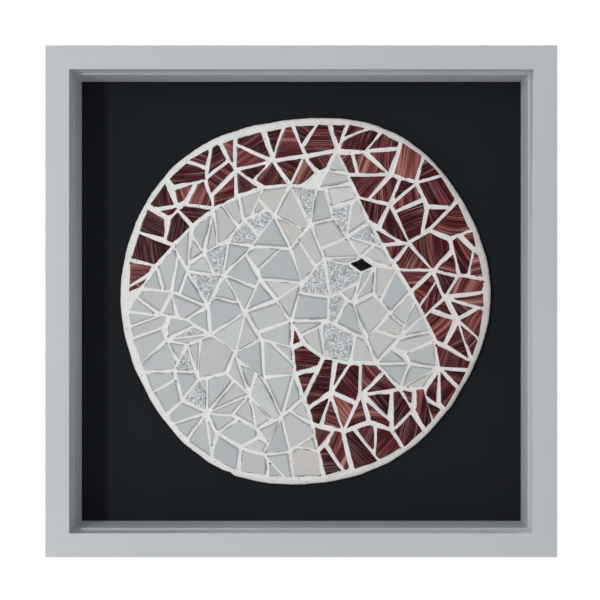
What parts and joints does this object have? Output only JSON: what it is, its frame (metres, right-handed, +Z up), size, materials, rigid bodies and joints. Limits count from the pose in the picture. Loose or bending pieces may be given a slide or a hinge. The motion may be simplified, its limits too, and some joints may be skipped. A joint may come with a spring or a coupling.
{
  "type": "mosaic panel",
  "caption": "Round glass-mosaic picture of a horse's head on a black board in a deep square box frame, made to hang on a wall.",
  "frame": {"origin": "on the wall side of the top rail, at the middle of its flat rear face, in the plane of the wall", "axes": "+Z up, +X to the viewer's right, -Y out of the wall towards the viewer; the rear face's outward normal is +Y"},
  "size_m": [0.33, 0.041, 0.33],
  "materials": {
    "frame_paint": "satin light grey paint on MDF",
    "black_card": "matt black mount board",
    "hardboard": "bare brown hardboard",
    "zinc_steel": "zinc-plated sheet steel",
    "grout": "fine sandy off-white grout",
    "red_glass": "opaque dark red glass with copper and pale streaks, satin gloss",
    "pale_glass": "opaque pale grey, lilac and cream glass, satin and faintly iridescent",
    "glitter_glass": "clear glass over silver crackle foil",
    "black_glass": "polished black glass"
  },
  "bodies": {
    "root": {"rail_top": "frame_paint", "rail_right": "frame_paint", "rail_bottom": "frame_paint", "rail_left": "frame_paint", "liner_top": "frame_paint", "liner_right": "frame_paint", "liner_bottom": "frame_paint", "liner_left": "frame_paint", "mount_board": "black_card", "backing_board": "hardboard", "wall_hanger": "zinc_steel", "backing_tab_top": "zinc_steel", "backing_tab_right": "zinc_steel", "backing_tab_bottom": "zinc_steel", "backing_tab_left": "zinc_steel", "grout": "grout", "ground_tiles": "red_glass", "figure_tiles": "pale_glass", "glitter_tile_01": "glitter_glass", "glitter_tile_02": "glitter_glass", "glitter_tile_03": "glitter_glass", "glitter_tile_04": "glitter_glass", "glitter_tile_05": "glitter_glass", "glitter_tile_06": "glitter_glass", "glitter_tile_07": "glitter_glass", "glitter_tile_08": "glitter_glass", "glitter_tile_09": "glitter_glass", "glitter_tile_10": "glitter_glass", "glitter_tile_11": "glitter_glass", "glitter_tile_12": "glitter_glass", "glitter_tile_13": "glitter_glass", "glitter_tile_14": "glitter_glass", "eye_tile": "black_glass"}
  },
  "joints": []
}
